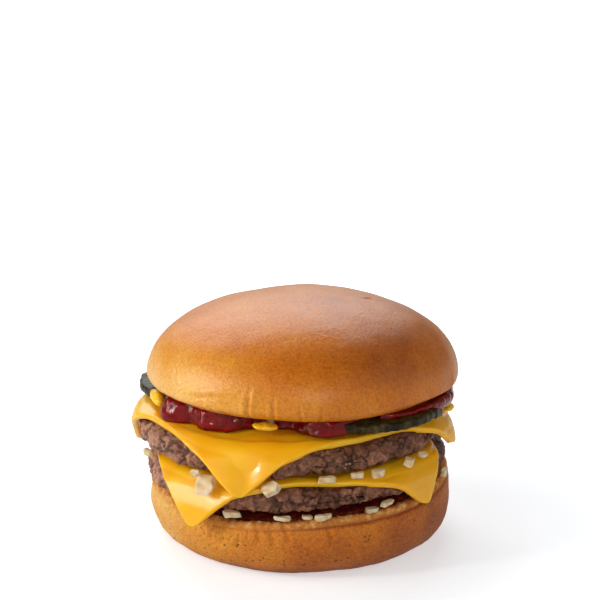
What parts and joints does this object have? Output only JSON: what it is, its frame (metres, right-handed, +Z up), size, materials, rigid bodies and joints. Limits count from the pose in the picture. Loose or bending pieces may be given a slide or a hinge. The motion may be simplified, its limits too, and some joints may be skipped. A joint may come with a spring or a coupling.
{
  "type": "double cheeseburger",
  "caption": "Round burger bun with stacked beef patties, draped cheese slices, pickle, ketchup, mustard and diced onion between its halves.",
  "frame": {"origin": "middle of the flat spot under the heel, on the surface that the burger rests on", "axes": "+Z up through the stack, the front at -Y and the right-hand side at +X"},
  "size_m": [0.1027, 0.1039, 0.078],
  "materials": {
    "bun_crust": "glossy golden-brown baked crust over pale crumb",
    "griddled_beef": "rough griddled ground beef",
    "sliced_cheese": "soft warm processed cheese, satin",
    "pickled_cucumber": "wet dark green pickle skin and flesh",
    "ketchup": "glossy red sauce",
    "mustard": "glossy yellow sauce",
    "onion_flesh": "wet translucent pale dice"
  },
  "bodies": {
    "root": {"bun_crown": "bun_crust", "bun_heel": "bun_crust", "patty_lower": "griddled_beef", "patty_upper": "griddled_beef", "cheese_lower": "sliced_cheese", "cheese_upper": "sliced_cheese", "pickle_left": "pickled_cucumber", "pickle_right": "pickled_cucumber", "ketchup": "ketchup", "ketchup_right": "ketchup", "mustard_left": "mustard", "mustard_front": "mustard", "mustard_right": "mustard", "onion_01": "onion_flesh", "onion_02": "onion_flesh", "onion_03": "onion_flesh", "onion_04": "onion_flesh", "onion_05": "onion_flesh", "onion_06": "onion_flesh", "onion_07": "onion_flesh", "onion_08": "onion_flesh", "onion_09": "onion_flesh", "onion_10": "onion_flesh", "onion_11": "onion_flesh", "onion_12": "onion_flesh", "onion_13": "onion_flesh", "onion_14": "onion_flesh", "onion_15": "onion_flesh", "onion_16": "onion_flesh"}
  },
  "joints": []
}
